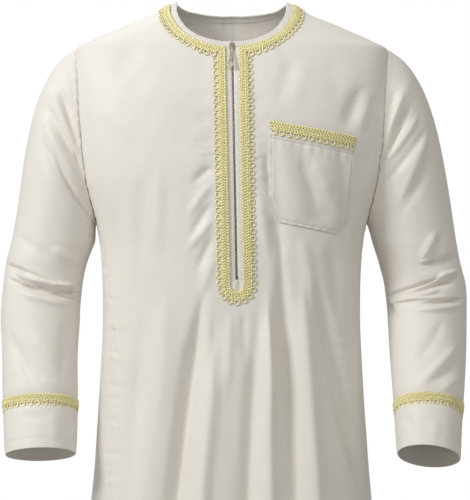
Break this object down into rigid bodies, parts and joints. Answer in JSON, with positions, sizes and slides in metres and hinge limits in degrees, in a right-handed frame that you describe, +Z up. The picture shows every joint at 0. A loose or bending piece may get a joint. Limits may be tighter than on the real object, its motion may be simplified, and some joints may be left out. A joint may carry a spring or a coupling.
{
  "type": "thobe robe",
  "caption": "Ankle-length men's thobe with a round bound neck, a zipped front placket, long sleeves, a chest pocket and looped gold braid, filled out as worn.",
  "frame": {"origin": "between the two shoulders at the top of the neck, where the wearer's neck and shoulders carry the robe; z = 0 is the neck's highest edge and x = 0 the middle of the body", "axes": "+Z up along the wearer's height, +X to the wearer's left, -Y the way the wearer faces"},
  "size_m": [0.742, 0.3836, 1.3993],
  "materials": {
    "ivory_cloth": "soft satin sheen",
    "gold_gimp": "glossy twisted thread",
    "zip_metal": "antique, darkened",
    "zip_tape": "matte woven tape"
  },
  "bodies": {
    "robe": {"front": "ivory_cloth", "back": "ivory_cloth", "sleeve_left": "ivory_cloth", "sleeve_right": "ivory_cloth", "neck_binding": "ivory_cloth", "pocket": "ivory_cloth", "zip_tape_left": "zip_tape", "zip_tape_right": "zip_tape", "zip_chain": "zip_metal", "zip_stop": "zip_metal", "zip_slider": "zip_metal", "gimp_neck": "gold_gimp", "gimp_neck_loops": "gold_gimp", "gimp_placket": "gold_gimp", "gimp_placket_loops": "gold_gimp", "gimp_pocket": "gold_gimp", "gimp_pocket_loops": "gold_gimp", "gimp_cuff_left_front": "gold_gimp", "gimp_cuff_left_front_loops": "gold_gimp", "gimp_cuff_left_back": "gold_gimp", "gimp_cuff_left_back_loops": "gold_gimp", "gimp_cuff_right_front": "gold_gimp", "gimp_cuff_right_front_loops": "gold_gimp", "gimp_cuff_right_back": "gold_gimp", "gimp_cuff_right_back_loops": "gold_gimp"},
    "pull_tab": {"zip_pull": "zip_metal"}
  },
  "joints": [
    {"name": "zip_pull_hinge", "type": "hinge", "parent": "robe", "child": "pull_tab", "pos_m": [0.00116, -0.08573, -0.07842], "axis": [-0.9999, -0.0083, -0.0146], "range_deg": [0, 150]}
  ]
}
